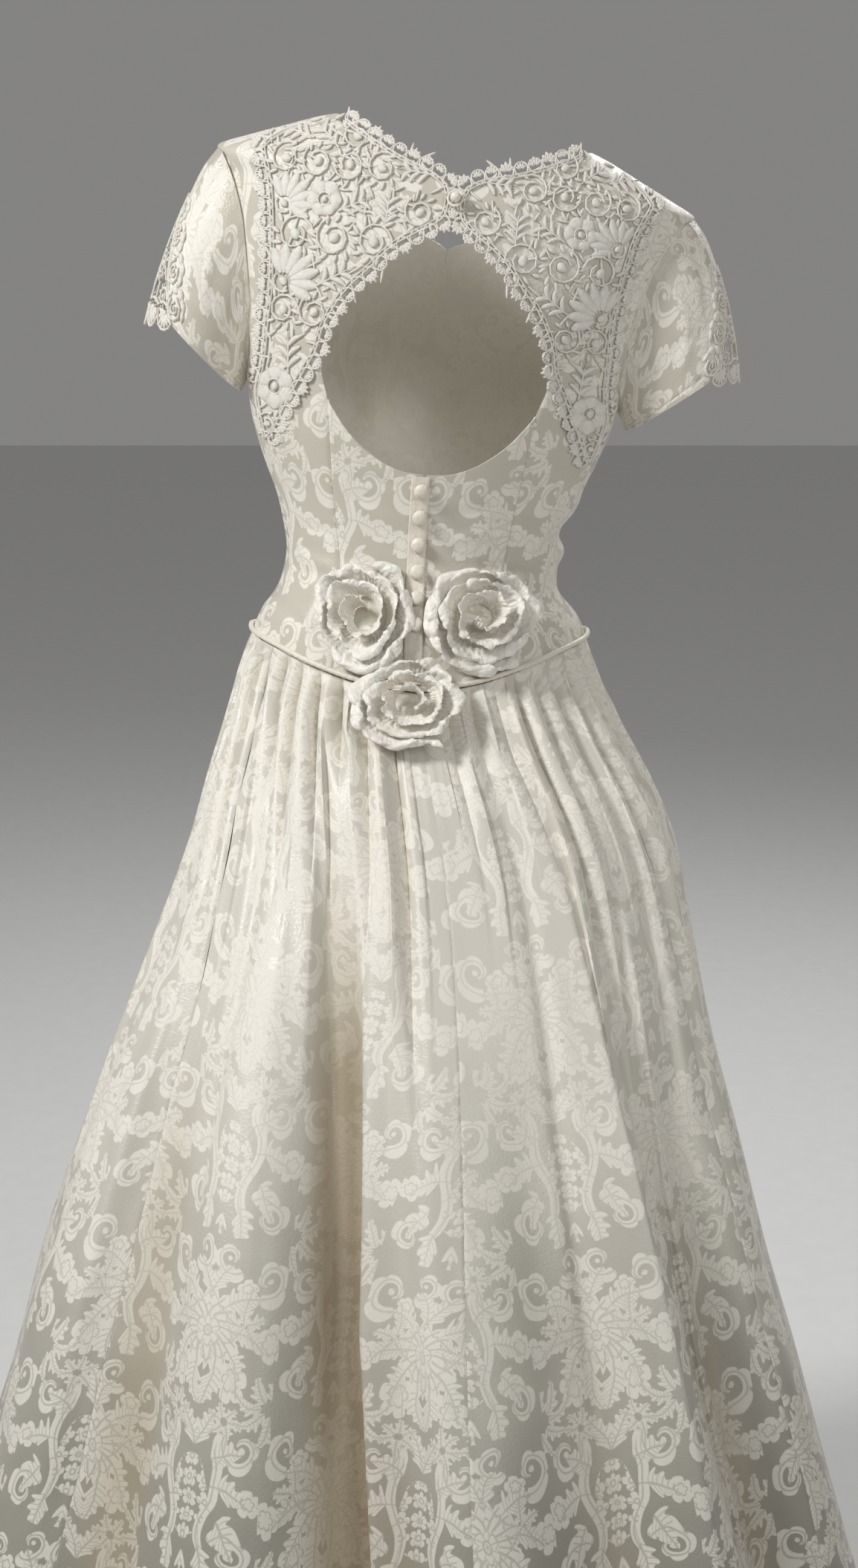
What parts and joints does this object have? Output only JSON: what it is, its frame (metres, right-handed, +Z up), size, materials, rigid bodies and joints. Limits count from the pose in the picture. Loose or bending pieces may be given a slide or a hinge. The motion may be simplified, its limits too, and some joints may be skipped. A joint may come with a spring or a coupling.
{
  "type": "wedding dress",
  "caption": "Ivory brocade wedding dress with a keyhole back, lace yoke, short sleeves, long corded bodice, cloth roses at the back and a full gathered skirt with a short train",
  "frame": {"origin": "middle of the shoulder line, between the two sleeve seams, where the wearer's shoulders hold the dress up", "axes": "+Z up, the back of the dress faces -Y and its front +Y, and +X is the right of someone who looks at the back, which is the wearer's right"},
  "size_m": [0.9399, 1.0505, 1.4795],
  "materials": {
    "brocade": "ivory brocade, matt raised flowers on a satin ground",
    "skirt_brocade": "ivory brocade, matt raised flowers on a satin ground",
    "lace": "matt corded lace, cool white",
    "rose_cloth": "warm ivory satin, gathered",
    "trim": "ivory satin over cord and buttons",
    "pearl": "pearl"
  },
  "bodies": {
    "root": {"basque_piping": "trim", "bodice_centre_back_left": "brocade", "bodice_centre_back_right": "brocade", "bodice_front": "brocade", "bodice_side_back_left": "brocade", "bodice_side_back_right": "brocade", "button_band": "trim", "button_loop": "trim", "covered_button_1": "trim", "covered_button_2": "trim", "covered_button_3": "trim", "covered_button_4": "trim", "covered_button_5": "trim", "covered_button_6": "trim", "pearl_button": "pearl", "rose_left": "rose_cloth", "rose_low": "rose_cloth", "rose_right": "rose_cloth", "skirt_back_left": "skirt_brocade", "skirt_back_right": "skirt_brocade", "skirt_front": "skirt_brocade", "skirt_side_left": "skirt_brocade", "skirt_side_right": "skirt_brocade", "sleeve_lace_left": "lace", "sleeve_lace_right": "lace", "sleeve_left": "brocade", "sleeve_right": "brocade", "yoke_lace_left": "lace", "yoke_lace_right": "lace", "zip_placket": "trim"}
  },
  "joints": []
}
